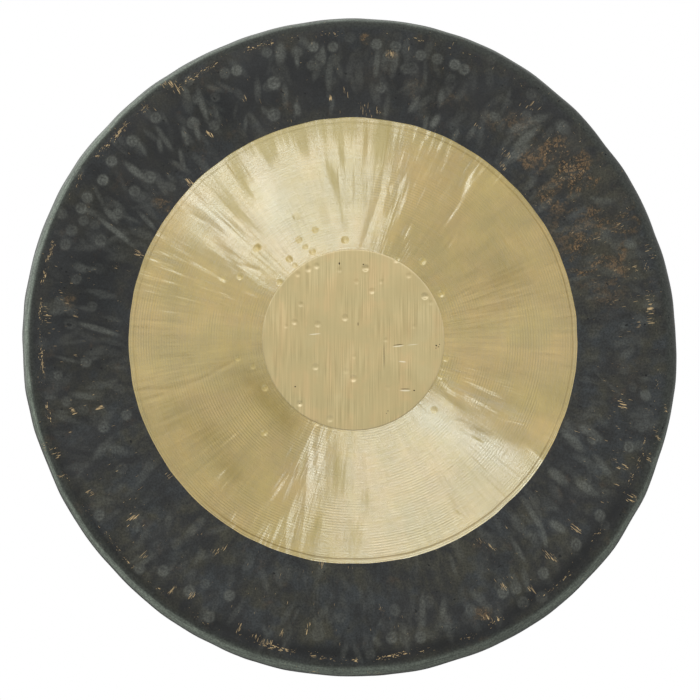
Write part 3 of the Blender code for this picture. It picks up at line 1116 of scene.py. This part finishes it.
# Marks in the bright middle, as the face is seen, from the bright ring's own centre
turnedMarks = {
    "steepness": 0.1,
    "peenSteepness": 0.105,
    "strokeRub": 0.8,
    "peenRub": 0.5,
    "strokes": [
        (127, 188, 114, 155, 5, 1.2), (113.6, 149, 94.8, 120, 2.5, 1.2),
        (110, 115.5, 99.7, 97, 2, 1.2), (32, 177, 28.7, 157.6, 3.5, 1.2),
        (28.7, 157.6, 10.4, 102.5, 3.5, 0.9), (52.4, 177, 46, 160, 2.5, 1.1),
        (38.4, 166.5, 38.4, 164, 3, 1.2), (60, 124, 53.4, 111, 2.5, 0.9),
        (79.2, 227, 78.2, 220, 2, 1.3), (93.2, 215, 89, 207, 2, 1.1),
        (18, 232, 15.8, 203, 3, 0.9), (131, 59.2, 111.5, 46.3, 1.6, 0.9),
        (206, 78.7, 221, 84, 1.8, 0.9), (145, 36.5, 179, 44, 3, -0.5),
        (193, -119, 203, -129, 2.5, 1.2), (160, -84.5, 191, -91, 2, 0.8),
        (120.5, -57.4, 163, -77.8, 6, 0.8), (97.5, -43.5, 109, -56.4, 5, 0.8),
        (123, -104, 138, -110.5, 2, 0.7), (109, -86.7, 121, -89.4, 1.5, 0.8),
        (111.5, -183, 117, -191.6, 2, 0.8), (12, -160, 11.5, -179.7, 3, 0.9),
        (11.5, -179.7, 1.8, -228, 3, 0.8), (33.6, -140.7, 35.2, -156, 2, 0.8),
        (-68, -140.7, -89.5, -170, 3, 1.1), (-37, -105, -38, -140.7, 3.5, 0.9),
        (-28.3, -99.7, -29.3, -149, 3, -0.8), (-47.6, -124.5, -50.8, -173, 3, 0.9),
        (-17.5, -108, -16.4, -162, 2.5, 0.8), (-70, -195, -73.4, -228, 4, 0.9),
        (-53, -186, -57.3, -216, 3, 0.9), (-33.6, -195, -38, -229, 3.5, 0.9),
        (-128, -185, -132.5, -199, 2, 1.2), (-128, -24, -159, -41.3, 2.5, 0.9),
        (-159, -41.3, -187.4, -53.2, 2.3, 0.8), (-187.4, -53.2, -226, -55.3, 2, 0.8),
        (-173.4, 135, -160.5, 128.4, 2, 0.9), (-118.6, 79.8, -103.5, 75.5, 2, 1.1),
        (-98, 218, -86, 199, 3, 0.8), (-125, 196.5, -104.6, 151, 6, 0.9),
        (-141, 194, -115, 155, 2.5, 0.8), (-49.8, 224.6, -49.8, 209.5, 2.5, 0.8),
        (-29.3, 191, -25, 160, 3, 0.8), (-12.7, 212.7, -13.2, 181.4, 3, 0.9),
        (-11, 162, -9, 113, 3, 0.8), (-61.6, 138, -54, 123, 2.5, 0.9),
        (2, 194, 4, 151, 2.5, 0.8),
        # broad ones, which carry the bright fans on past their edges
        (-55, -140, -82, -209, 8, 0.4), (118, -76, 191, -119, 13, 0.32),
        (87, -55, 114, -72.5, 5, 0.5), (-89, 52, -121, 71, 6, -0.5),
        (-53, -104, -61, -162, 12, 0.42),
    ],
    "bright": [  # where the turning is more burnished
        (104, -88, 174, -136, 18, 0.9), (62, -72, 95, -95, 15, 0.5),
        (-168, 150, -130, 118, 12, 0.6), (-105, 185, -75, 115, 14, 0.5),
        (-42, -108, -44, -155, 12, 0.8),
    ],
    "shade": [  # where the ring is darker and less burnished, in patches
        (-108, -48, -98, -62, 14, 0.6), (-88, -72, -70, -90, 14, 0.8),
        (-172, -92, -150, -104, 13, 0.6), (-142, -130, -125, -150, 11, 0.5),
        (99, -57, 120, -80, 5, 0.8), (112, -88, 158, -105, 4, 0.9),
        (165, -98, 205, -120, 8, 0.5), (150, 60, 180, 75, 14, 0.4),
        (-150, -10, -110, -8, 10, 0.3),
    ],
    "dull": [  # where the turning is less burnished, along the radius
        (-97.8, 218.2, -83.3, 186.7, 8, 0.8), (-129.5, 191.9, -109.7, 152.3, 7, 0.9),
        (-56.9, 223.4, -51.7, 197.2, 8, 0.7), (-30.5, 197.2, -17.3, 160.2, 6, 0.9),
        (-17.3, 165, -6.8, 110.1, 4, 0.5), (-14.7, 215.5, -9.4, 178.7, 3.5, 0.9),
        (-43.8, 231.4, 20, 231.4, 24, 0.85), (-122.9, 207.7, -70.3, 228.8, 20, 0.8),
        (25.7, 183, 32, 228, 13, 0.8), (-121, 140, -152, 175, 16, 0.55),
        (-40, 165, -25, 120, 10, 0.5), (-50.2, -106.3, -58.1, -164.4, 7, 0.7),
        (-17.3, -119.4, -14.1, -169.1, 9, 0.8), (-34.6, -185.4, -47.6, -227.5, 8, 0.8),
        (-2.7, -193.4, 7.8, -227.5, 10, 0.6), (15.8, -159, 13, -185.4, 3, 0.5),
        (34.2, -137.8, 36.8, -156.2, 3, 0.4), (105.4, -180.2, 118.6, -190.8, 2, 0.9),
        (126.5, -103.7, 139.5, -110.3, 2, 1), (-140, 150, -92, 108, 6, 0.6),
        (8, 200, 16, 120, 5, 0.5), (60, -60, 80, -80, 2, 0.3),
    ],
    "peens": [
        (74.4, 85.2, 4.3, 1), (94.3, 50, 4.3, 1), (13.1, 77.6, 4, 1.6), (20, 52.7, 3.5, 0.8),
        (77, 47.3, 4, 1.6), (-124, -20.8, 3, 0.8), (-107.8, -29.4, 3, 0.8), (-95, -52, 4, 0.9),
        (-95.5, -100.3, 4, 1), (-25, -85.6, 4, 0.8), (-57.3, -69, 3.5, 0.7),
        (-58.4, 107.9, 4, 0.9), (-51.9, 100.3, 3.5, 0.9), (-43.9, 95, 4, 0.9),
        (-41.2, 118.7, 4, 0.9), (-8.9, 107.9, 4.5, 0.9), (-104.6, 98.2, 4.5, 0.8),
        (-8.9, 23.6, 4, 0.8), (-40, -90, 4, 0.8), (99.7, -19.7, 4, 0.7), (86.8, -75.9, 4, 0.8),
        (46.4, 86.3, 3.5, 0.8), (-140, 65.7, 3.5, 1.2), (-121.8, 67.9, 3.5, 1.2),
        (-69, 87, 4, 1), (-103, 99.5, 4, 1), (-56.4, 38.1, 3.2, 0.6), (-63.2, 18.9, 3.4, 0.8),
        (-38.4, 16.7, 3.8, 0.7), (-40.7, -29.5, 3.8, 0.8), (-72.2, 14.4, 2.8, 0.5),
        (-48.6, 76.4, 3.8, 0.7), (-39.5, 79.7, 3.6, 0.7), (-59.8, 70.7, 3.4, 0.6),
        (-14.7, 75.3, 3.2, 0.4), (3.3, 62.8, 3.2, 0.4), (29.9, 62.8, 2.8, 0.4),
        (59.6, 69.6, 3.4, 0.6), (65.2, 14.4, 2.8, 0.45), (34.8, -0.2, 2.8, 0.5),
        (0, -42, 4.2, 1.0), (1, -18.3, 3, 0.45), (-79, 61.8, 3.8, 1), (-57.5, -69, 3.8, 0.6),
        (37, -52, 3, 0.4), (93.9, -39.7, 3.2, 0.8), (-8, -34, 3.4, 0.4), (83.3, 40.3, 3, 0.4),
        (-63, 80, 3.4, 0.7), (-61, 134, 5, -0.5),
    ],
    "scatter": {
        "seed": 23,
        "count": 150,
        "radii": (0.105, 0.232),
        "length": (0.012, 0.055),
        "lean": 0.16,
        "halfWidth": (0.002, 0.0055),
        "strength": (0.06, 0.28),
        "other": -0.7,
        "steepness": 0.1,
        "rub": 0.5,
    },
}

# Marks in the black ring, from the disc's own centre
blackMarks = {
    "steepness": 0.05,
    "peenSteepness": 0.045,
    "strokeRub": 0.62,
    "peenRub": 1.0,
    "peens": [
        (-41, 323, 5.6, 1), (-20, 323, 5.6, 1), (-124, 297, 6, 1), (-137, 294, 6, 0.5),
        (-84, 283, 7.5, 1), (27, 326, 6, 0.8), (48, 324, 6, 0.8), (75, 314, 6, 0.7),
        (93, 310, 6, 0.7), (112, 304, 6, 1), (122, 299, 6, 1), (-211.5, 245, 6, 1),
        (-237, 219.5, 6, 0.9), (-259, 197.5, 6, 0.8), (-268, 177, 6, 1), (-234, 165, 6, 0.7),
        (-285, 158, 6, 0.8), (-291, 146, 6, 1), (-301.5, 122, 6, 0.6), (-308, 107, 6, 0.6),
        (-252, 140, 6, 0.9), (-270, 111, 6.5, 0.8), (-217.6, 180, 7, 0.7), (-84, 248.5, 7, 0.8),
        (-171, 239, 7, 1), (-285, -20, 6, 0.6), (-315, -34.6, 5, 0.7), (-266, -90, 6, 0.7),
        (-270, -185, 6, 0.8), (-241, -77, 6, 0.6), (-201.5, -244.6, 6, 0.9),
        (-226.6, -242, 6, 0.8), (-173.5, -266, 6, 0.9), (-152, -294, 6, 0.8),
        (-130.5, -271, 6, 0.8), (266.6, -185, 6, 0.9), (240.8, -216, 6, 0.8),
        (205.4, -247, 6, 0.9), (162.4, -267.5, 6, 0.9), (176, -262.6, 6, 0.8),
        (74, -315, 6, 0.8), (43, -315.6, 6, 0.8), (298.5, -110.6, 6, 0.9), (316.5, -55, 6, 0.8),
        (258.8, -102, 6, 0.8), (32, 278.6, 6, 0.7),
    ],
    "strokes": [
        (-76.8, 322, -76.8, 307, 6.5, 1), (-60.6, 321.8, -58.5, 302.4, 3, 0.9),
        (-31.6, 322, -30.5, 306, 4, 0.8), (-166, 276.4, -156, 242.4, 4, 0.9),
        (-181, 279.7, -175.7, 265.6, 3.5, 0.6), (-210, 234, -194, 211, 3.5, 0.7),
        (-208, 222, -205.8, 209.4, 3, 0.8), (-181, 233, -177.8, 217, 4, 1),
        (-169.2, 239.7, -165, 223.4, 3.5, 1), (-231.6, 220, -222, 205, 3, 0.7),
        (-242.3, 194.3, -224, 179, 4.5, 1), (-185.3, 209.4, -180, 188, 3, 0.7),
        (-271.3, 134.8, -234.8, 105.6, 3.5, 1.1), (-229.4, 142.4, -211, 123, 3, 0.8),
        (-265, 145.6, -253, 131.6, 4, 0.8), (-291.8, 21.3, -253, 9.4, 3.5, 0.9),
        (-294, 81.8, -272.4, 79.7, 2.5, 0.6), (-102, 287, -101, 263.4, 4, 0.6),
        (-72.5, 280.7, -71.4, 259, 4, 0.6), (-23, 306.7, -25, 276.4, 5, 0.6),
        (-59.6, 259, -57.4, 250.5, 4, 0.9), (28.6, 320.7, 26.4, 291.6, 4, 0.7),
        (49, 321, 43.6, 291.6, 5, 0.7), (98, 275, 95.7, 260.5, 4, 0.8),
        (72.7, 267.8, 63, 253.7, 3.5, 0.8), (93, 246, 87.3, 236.4, 4.5, 1.1),
        (81.3, 246, 79, 233, 3, 0.8), (114.6, 231.6, 109, 219.6, 3, 0.8),
        (133, 234.3, 125.3, 222.4, 4, 0.6), (209.6, 248, 171.3, 231.6, 6, 0.9),
        (202.4, 236.4, 176, 212.6, 5, 0.9), (190.5, 214.8, 164, 195.3, 6, 0.9),
        (226, 237.4, 231, 235.4, 8, 0.9), (214.6, 156.7, 202.4, 144.7, 4, 0.6),
        (298, 110, 303, 108, 6, 0.8), (-298.5, -55, -274.6, -58.7, 4, 0.6),
        (-210, -226, -229.4, -240.8, 3, 0.8), (188, -173, 205, -200, 4, 0.9),
        (205, -200, 208.4, -216.7, 3.5, 0.8), (214.6, -192.7, 226.4, -200, 5, 1),
        (172.4, -210.7, 185.5, -233.6, 3, 0.8), (229, -96, 245.7, -112.7, 6, 0.9),
        (248, -90, 267, -102, 6, 1), (214.6, -137, 229, -149, 6, 0.9),
        (262.4, -122.5, 277, -139.6, 5, 0.9), (243.3, -149.2, 262.4, -161.3, 6, 1),
        (99.3, -274.7, 97, -294, 4, 0.8), (76.4, -272.2, 75.3, -296.4, 4, 0.8),
    ],
    "scatter": {
        "seed": 41,
        "count": 380,
        "radii": (0.250, 0.332),
        "length": (0.008, 0.028),
        "lean": 0.35,
        "halfWidth": (0.002, 0.0058),
        "strength": (0.15, 0.8),
        "other": 0.8,
        "steepness": 0.05,
        "rub": 0.42,
    },
    "row": {
        "seed": 5,
        "count": 95,
        "radius": 0.310,
        "spread": 0.017,
        "size": (0.005, 0.0065),
        "strength": (0.25, 0.75),
        "steepness": 0.045,
        "rub": 0.75,
    },
}

# Scraped centre
centreShell = {"steps": 45, "doublings": 4, "frontRows": 100, "backRows": 10}
centreEdge = disc["scrapedRadius"]
inner = centreEdge + disc["stepRun"]
frontRows = evenly(0, centreEdge, centreShell["frontRows"])
section = [frontPoint(radius, disc["scrapedStep"]) for radius in frontRows]
section.append(frontPoint(inner, disc["turnedStep"]))
section.append(frontPoint(inner + disc["seamTuck"], disc["turnedStep"] + disc["seamTuck"]))
section += [backPoint(radius) for radius in evenly(inner, 0, centreShell["backRows"])]
mesh = turnShell("scrapedCentre", section, centreShell["steps"], centreShell["doublings"])
frontMarks = placePeens(
    turnedMarks["peens"], turnedMarks["peenSteepness"], turnedMarks["peenRub"], True
)
along, angle, front = hammerShell(mesh, frontMarks)
wearAndPaintedLightShell(mesh, along, angle, front)
scaleTheBack(mesh, front)
finishShell(mesh, [scraped, scale])

# Turned ring
ringShell = {
    "steps": 28,
    "doublings": 5,
    "peenedRadius": 0.148,  # the rows are closer together where the round marks are
    "peenedRows": 56,
    "plainRows": 31,
    "cutRows": 7,
    "backRows": 10,
    "dirtWidth": 0.0010,
    "cutRun": 0.001,  # from its corner to where the first cut's own lines begin
    "tuckDepth": 1.3,  # of the seam's tuck under the black ring
    "dirt": [  # from and to degrees, and how dark the corner of the first cut is there
        (228, 335, 0.75), (335, 395, 0.4), (35, 75, 0.3), (75, 140, 0.14), (140, 228, 0.2),
    ],
}
outer = disc["turnedRadius"] + disc["stepRun"]
firstCut = disc["turnedRadius"] - disc["firstCutWidth"]
cutCorner = firstCut + disc["stepRun"] / 2


def ringSection():
    peened, dirtWidth = ringShell["peenedRadius"], ringShell["dirtWidth"]
    rows = evenly(inner, peened, ringShell["peenedRows"])
    rows += evenly(peened, firstCut - dirtWidth, ringShell["plainRows"])[1:]
    cutRows = evenly(firstCut + disc["stepRun"], disc["turnedRadius"], ringShell["cutRows"])
    section = [frontPoint(radius, disc["turnedStep"]) for radius in [*rows, firstCut]]
    section += [frontPoint(radius, disc["firstCutDepth"]) for radius in cutRows]
    section.append(frontPoint(outer))
    tuck = disc["seamTuck"]
    section.append(frontPoint(outer + tuck, tuck * ringShell["tuckDepth"]))
    return section + [backPoint(radius) for radius in evenly(outer, inner, ringShell["backRows"])]


def patchShare(strokes, along, angle):
    # soft patches of the ring's finish, where the strokes lie
    patches = []
    for start, end, halfWidth, depth, strength, isRound in placeStrokes(strokes, 0, 1, True):
        patches.append((start, end, halfWidth, strength, depth, isRound))
    return pressMarks(*unroll(along, angle), patches)[0]


def markRing(mesh, along, angle, front):
    # where the turned ring is dirty, dull, bright, darker in patches, pressed in or part of the
    # first cut
    dirt = np.zeros_like(along)
    for fromAngle, toAngle, strength in ringShell["dirt"]:
        dirt = np.maximum(dirt, strength * arcShare(angle, fromAngle, toAngle, 0.2))
    dirt *= np.exp(-(((along - cutCorner) / ringShell["dirtWidth"]) ** 4))
    peens = placePeens(turnedMarks["peens"], 0, 1, True)
    keepOnPoints(mesh, "dirt", dirt * front)
    for name in ("dull", "bright", "shade"):
        keepOnPoints(mesh, name, patchShare(turnedMarks[name], along, angle) * front)
    keepOnPoints(mesh, "pressed", pressMarks(*unroll(along, angle), peens)[1] * front)
    inCut = smoothStep(along, cutCorner, cutCorner + ringShell["cutRun"])
    keepOnPoints(mesh, "firstCut", inCut * front)


mesh = turnShell("turnedRing", ringSection(), ringShell["steps"], ringShell["doublings"])
frontMarks += placeStrokes(
    turnedMarks["strokes"], turnedMarks["steepness"], turnedMarks["strokeRub"], True
)
frontMarks += scatterStrokes(turnedMarks["scatter"])
along, angle, front = hammerShell(mesh, frontMarks)
wearAndPaintedLightShell(mesh, along, angle, front)
markRing(mesh, along, angle, front)
scaleTheBack(mesh, front)
finishShell(mesh, [turned, scale])

# Black ring
blackShell = {"steps": 45, "doublings": 5, "frontRows": 56, "backRows": 11}
section = [frontPoint(radius) for radius in evenly(outer, shoulderStart, blackShell["frontRows"])]
section += [backPoint(radius) for radius in evenly(shoulderStart, outer, blackShell["backRows"])]
mesh = turnShell("blackRing", section, blackShell["steps"], blackShell["doublings"])
frontMarks = placeStrokes(
    blackMarks["strokes"], blackMarks["steepness"], blackMarks["strokeRub"]
)
frontMarks += placePeens(blackMarks["peens"], blackMarks["peenSteepness"], blackMarks["peenRub"])
frontMarks += scatterStrokes(blackMarks["scatter"]) + scatterPeens(blackMarks["row"])
along, angle, front = hammerShell(mesh, frontMarks)
wearAndPaintedLightShell(mesh, along, angle, front)
finishShell(mesh, [scale])

# Rolled shoulder and rim, with the two hanging holes and the black ring's marks
rimShell = {"steps": 45, "doublings": 5, "shoulderRows": 14, "rimRows": 14, "innerRows": 8}


def rimSection():
    chamfer, wall = disc["lipChamfer"], disc["rimWall"]
    level = disc["rimDepth"] - chamfer
    turns = evenly(0, shoulderTurn, rimShell["shoulderRows"])
    outside = evenly(rimStartDepth, level, rimShell["rimRows"])
    inside = evenly(level, rimStartDepth, rimShell["innerRows"])
    turnsBack = evenly(shoulderTurn, 0, rimShell["innerRows"])
    lip = rimRadius(disc["rimDepth"])
    section = [frontPoint(shoulderStart - disc["seamTuck"], disc["seamTuck"])]
    section += [shoulderPoint(disc["shoulderRadius"], turn) for turn in turns]
    section += [(rimRadius(depth), depth) for depth in outside[1:]]
    section.append((lip - chamfer, disc["rimDepth"]))
    section.append((lip - wall + chamfer, disc["rimDepth"]))
    section += [(rimRadius(depth) - wall, depth) for depth in inside]
    return section + [shoulderPoint(disc["shoulderRadius"] - wall, turn) for turn in turnsBack[1:]]


blank = turnShell("rolledRimBlank", rimSection(), rimShell["steps"], rimShell["doublings"])
mesh = drillHoles(blank)
along, angle, front = hammerShell(mesh, frontMarks)
wearAndPaintedLightShell(mesh, along, angle, front)
finishShell(mesh, [scale])

# Floor, light and camera
stage = {
    "floorHeight": -1.35,
    "floorSize": 120.0,
    "floorColour": (0.86, 0.86, 0.85),
    "worldLevel": 0.45,
    "lens": 231.4,
    "sensorWidth": 36.0,
    "sight": 200.0,
    "cameraDistance": 4.839,
    "cameraTurn": math.radians(-1.2),
    "cameraTilt": math.radians(-6.0),
    "aimOffset": (-0.0015, -0.0068),
}

shape = bmesh.new()
bmesh.ops.create_grid(shape, x_segments=1, y_segments=1, size=stage["floorSize"] / 2)
floorMesh = bpy.data.meshes.new("floor")
shape.to_mesh(floorMesh)
shape.free()
floorMesh.transform(Matrix.Translation((0, 0, stage["floorHeight"])))
floor = bpy.data.objects.new("floor", floorMesh)
bpy.context.scene.collection.objects.link(floor)
material, tree = newMaterial("floorPaper")
paper = {"Base Color": (*stage["floorColour"], 1), "Roughness": 0.9, "Specular IOR Level": 0.1}
paper = newField(tree, "ShaderNodeBsdfPrincipled", paper)
addNode(tree, "ShaderNodeOutputMaterial", {"Surface": paper})
floorMesh.materials.append(material)

world = bpy.data.worlds.new("studio")
bpy.context.scene.world = world
world.use_nodes = True
world.node_tree.nodes.clear()
tree = world.node_tree
path = addNode(tree, "ShaderNodeLightPath")
eye, gloss, through = [
    Field(tree, path.outputs[name])
    for name in ("Is Camera Ray", "Is Glossy Ray", "Is Transmission Ray")
]
# white where it is seen or mirrored, and dimmer as a light
shades = []
for strength in (stage["worldLevel"], 1.0):
    light = {"Color": (1, 1, 1, 1), "Strength": strength}
    shades.append(newField(tree, "ShaderNodeBackground", light))
showBoth(eye.larger(gloss.larger(through)), shades, "ShaderNodeOutputWorld")


def lookAt(thing, target):
    way = [target[i] - thing.location[i] for i in range(3)]
    thing.rotation_euler = Vector(way).to_track_quat("-Z", "Y").to_euler()


# Two long softboxes, one high and one low. Way: where it stands as the face is seen.
# Tilt: from straight in front of the face. Size: across that way and along it.
softboxes = {
    "high": {"way": 104.2, "tilt": 23.1, "distance": 4.2, "size": (1.62, 0.24), "power": 45.0},
    "low": {"way": -52.0, "tilt": 12.5, "distance": 3.2, "size": (1.15, 0.35), "power": 8.0},
}


def facing(place, target, sideways):
    # turned so that -Z looks at the target and X lies along the sideways direction
    back = (Vector(place) - Vector(target)).normalized()
    side = Vector(sideways)
    side = (side - back * side.dot(back)).normalized()
    return Matrix((side, back.cross(side), back)).transposed().to_euler()


for name, box in softboxes.items():
    lamp = bpy.data.lights.new("softbox." + name, "AREA")
    lamp.shape = "RECTANGLE"
    lamp.size, lamp.size_y = box["size"]
    lamp.energy = box["power"]
    softbox = bpy.data.objects.new("softbox." + name, lamp)
    bpy.context.scene.collection.objects.link(softbox)
    way = math.radians(box["way"])
    tilt = math.radians(box["tilt"])
    softbox.location = (
        discCentre[0] + box["distance"] * math.sin(tilt) * math.cos(way),
        discCentre[1] - box["distance"] * math.cos(tilt),
        discCentre[2] + box["distance"] * math.sin(tilt) * math.sin(way),
    )
    softbox.rotation_euler = facing(
        softbox.location, discCentre, (math.sin(way), 0, -math.cos(way))
    )
    softbox.visible_camera = False

lens = bpy.data.cameras.new("camera")
lens.lens = stage["lens"]
lens.sensor_width = stage["sensorWidth"]
lens.clip_end = stage["sight"]
camera = bpy.data.objects.new("camera", lens)
bpy.context.scene.collection.objects.link(camera)
level = math.cos(stage["cameraTilt"])
camera.location = (
    discCentre[0] + stage["cameraDistance"] * math.sin(stage["cameraTurn"]) * level,
    discCentre[1] - stage["cameraDistance"] * math.cos(stage["cameraTurn"]) * level,
    discCentre[2] + stage["cameraDistance"] * math.sin(stage["cameraTilt"]),
)
lookAt(
    camera,
    (discCentre[0] + stage["aimOffset"][0], discCentre[1], discCentre[2] + stage["aimOffset"][1]),
)
bpy.context.scene.camera = camera
bpy.context.scene.view_settings.view_transform = "Standard"
print("stage set")
